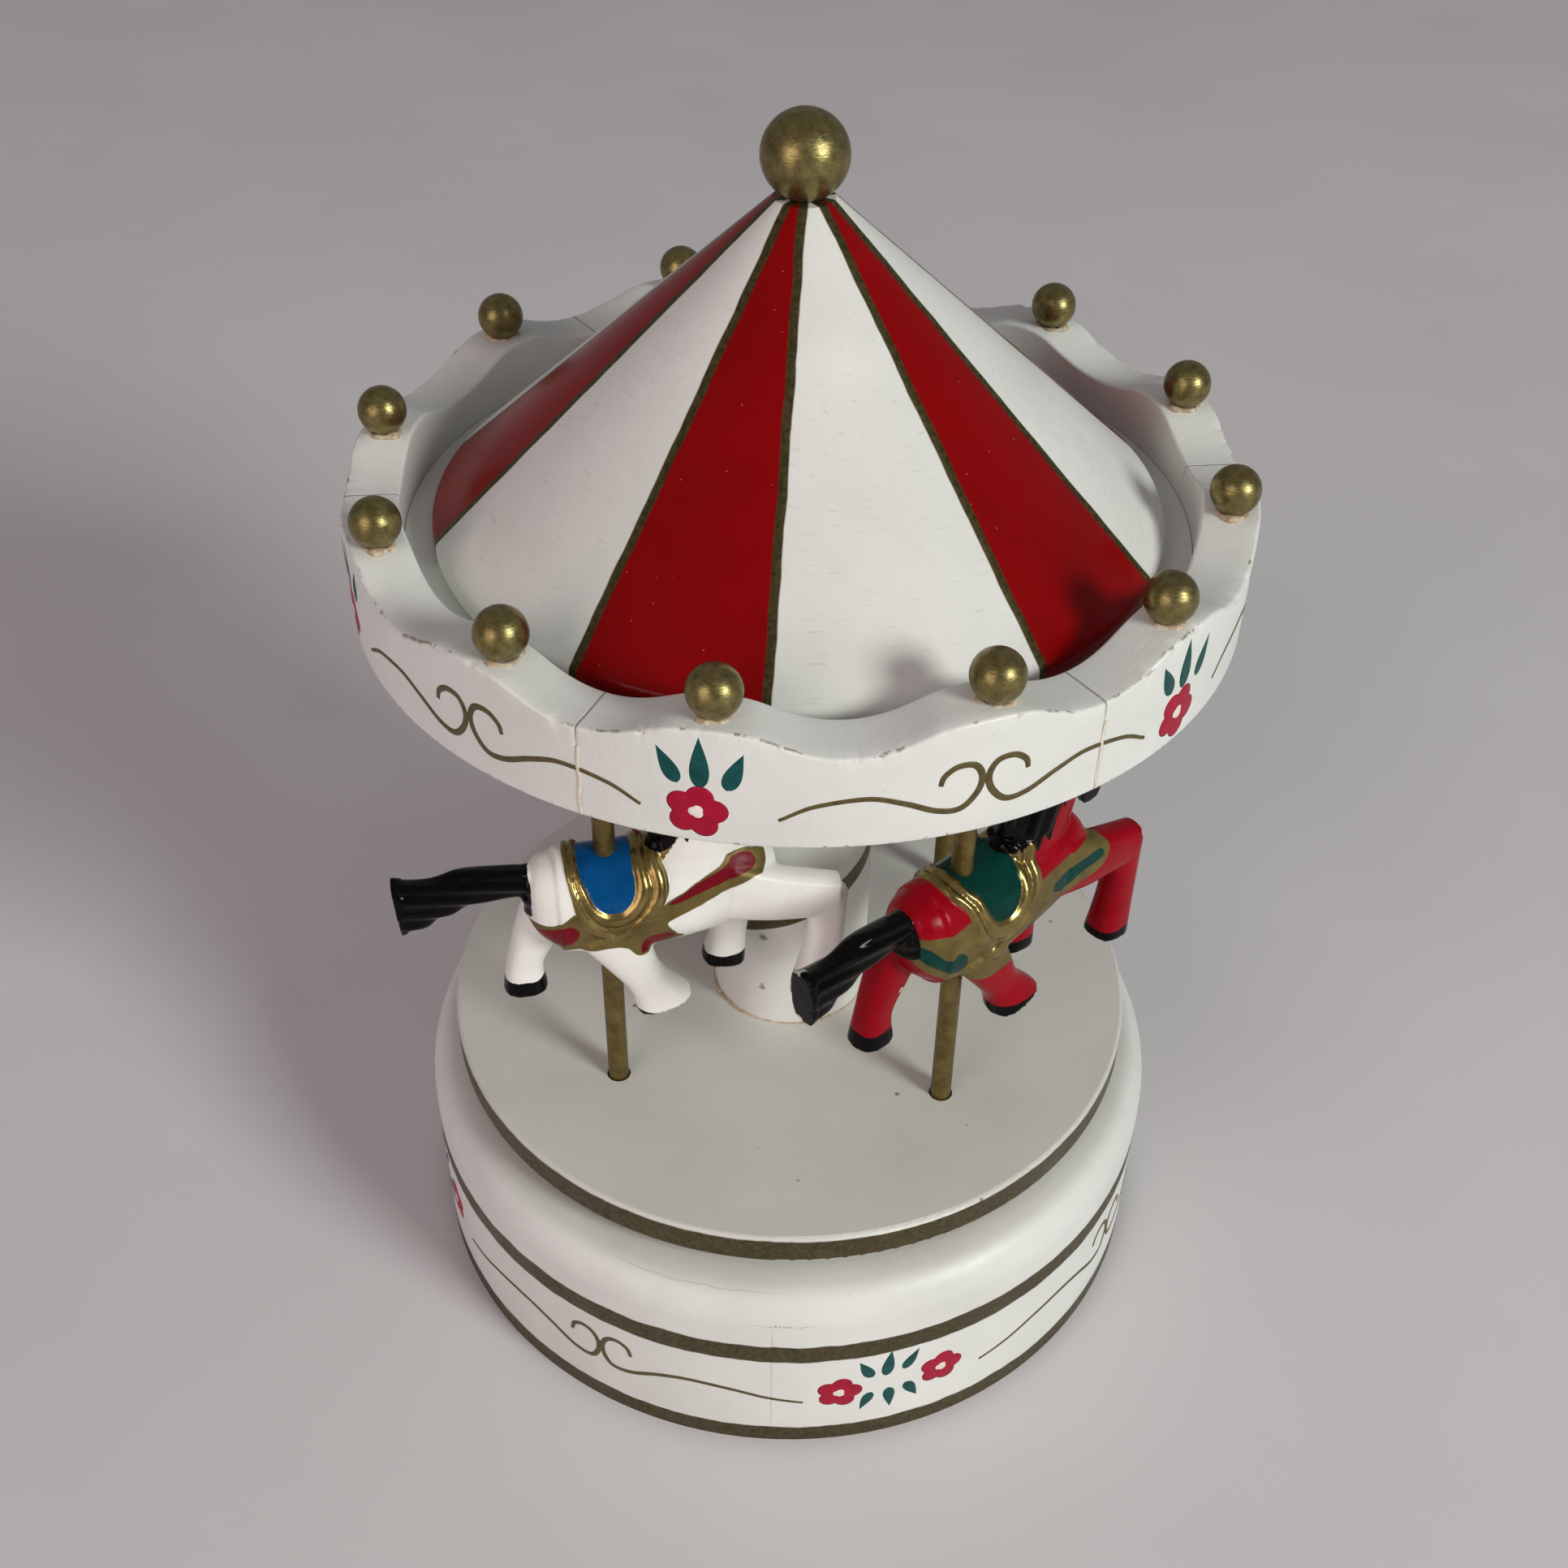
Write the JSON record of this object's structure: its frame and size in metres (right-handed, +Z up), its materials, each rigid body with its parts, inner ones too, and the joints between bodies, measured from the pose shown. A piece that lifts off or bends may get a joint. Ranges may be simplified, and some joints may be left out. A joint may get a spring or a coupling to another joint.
{
  "type": "wind up music box",
  "caption": "Painted wooden carousel music box: horses on poles turn with a scalloped canopy above a round base that holds a wound comb movement and its key.",
  "frame": {"origin": "centre of the base's underside, on the axis the carousel turns about", "axes": "+Z up along the carousel's axis, -Y to the side the picture shows"},
  "size_m": [0.1474, 0.1474, 0.2257],
  "materials": {
    "painted_base": "satin warm white paint with gold stripes",
    "painted_deck": "satin warm white paint, gold edge",
    "painted_column": "satin warm white paint",
    "painted_ceiling": "satin warm white paint",
    "painted_ring": "satin warm white paint with painted flowers",
    "painted_roof": "gloss red and white panels with gold lines",
    "gold_beads": "antique gold paint",
    "gold_poles": "antique gold paint",
    "bare_board": "bare plywood",
    "bare_dowel": "bare beech",
    "white_horse": "moulded, painted by hand",
    "red_horse": "moulded, painted by hand",
    "steel": "bright zinc or drawn steel",
    "brass": "turned and stamped brass",
    "nylon": "natural nylon"
  },
  "bodies": {
    "base": {"base_shell": "painted_base", "base_board": "bare_board", "board_screws": "steel", "top_bush": "brass", "bedplate": "steel", "movement_screws": "steel", "spring_housing": "steel", "mainspring": "steel", "cylinder_bearing": "brass", "governor_frame": "brass", "governor_bridge": "brass", "bracket_screws": "steel", "comb_block": "brass", "comb": "steel", "comb_screws": "steel"},
    "carousel": {"spring_arbor": "steel", "great_wheel": "brass", "ratchet_wheel": "steel", "click": "steel", "click_spring": "steel", "winding_key": "steel", "drive_hub": "brass", "hub_screws": "steel", "platform": "painted_deck", "centre_column": "painted_column", "tie_rod": "steel", "tie_nut": "steel", "ceiling_board": "painted_ceiling", "rim_segment_1": "painted_ring", "rim_segment_2": "painted_ring", "rim_segment_3": "painted_ring", "rim_segment_4": "painted_ring", "rim_segment_5": "painted_ring", "rim_segment_6": "painted_ring", "roof_cone": "painted_roof", "rim_balls": "gold_beads", "finial_dowel": "bare_dowel", "finial_ball": "gold_beads"},
    "rider_1": {"pole_1": "gold_poles", "horse_1": "white_horse"},
    "rider_2": {"pole_2": "gold_poles", "horse_2": "red_horse"},
    "rider_3": {"pole_3": "gold_poles", "horse_3": "white_horse"},
    "rider_4": {"pole_4": "gold_poles", "horse_4": "red_horse"},
    "cylinder": {"pinned_cylinder": "brass", "cylinder_shaft": "steel", "cylinder_pinion": "brass", "cylinder_gear": "brass"},
    "governor_wheel": {"governor_arbor": "steel", "governor_pinion": "brass", "worm_wheel": "nylon"},
    "governor_fan": {"worm": "steel", "fan": "brass"}
  },
  "joints": [
    {"name": "carousel_turn", "type": "hinge", "parent": "base", "child": "carousel", "pos_m": [0, 0, 0], "axis": [0, 0, 1], "continuous": true},
    {"name": "rider_1_turn", "type": "hinge", "parent": "carousel", "child": "rider_1", "pos_m": [-0.03216, -0.02855, 0.10958], "axis": [0, 0, 1], "range_deg": [-75, 0]},
    {"name": "rider_2_turn", "type": "hinge", "parent": "carousel", "child": "rider_2", "pos_m": [0.02855, -0.03216, 0.10958], "axis": [0, 0, 1], "range_deg": [-15, 60]},
    {"name": "rider_3_turn", "type": "hinge", "parent": "carousel", "child": "rider_3", "pos_m": [0.03216, 0.02855, 0.10958], "axis": [0, 0, 1], "range_deg": [-15, 60]},
    {"name": "rider_4_turn", "type": "hinge", "parent": "carousel", "child": "rider_4", "pos_m": [-0.02855, 0.03216, 0.10958], "axis": [0, 0, 1], "range_deg": [-75, 0]},
    {"name": "cylinder_turn", "type": "hinge", "parent": "base", "child": "cylinder", "pos_m": [0.03, 0, 0.0266], "axis": [1, 0, 0], "continuous": true},
    {"name": "governor_wheel_turn", "type": "hinge", "parent": "base", "child": "governor_wheel", "pos_m": [0.0445, -0.009, 0.0266], "axis": [1, 0, 0], "continuous": true},
    {"name": "governor_fan_turn", "type": "hinge", "parent": "base", "child": "governor_fan", "pos_m": [0.04564, -0.0154, 0.0266], "axis": [0, 0, 1], "continuous": true}
  ],
  "couplings": [
    {"joint": "cylinder_turn", "follows": "carousel_turn", "ratio": -2.5},
    {"joint": "governor_wheel_turn", "follows": "carousel_turn", "ratio": 7.5},
    {"joint": "governor_fan_turn", "follows": "carousel_turn", "ratio": 120}
  ]
}
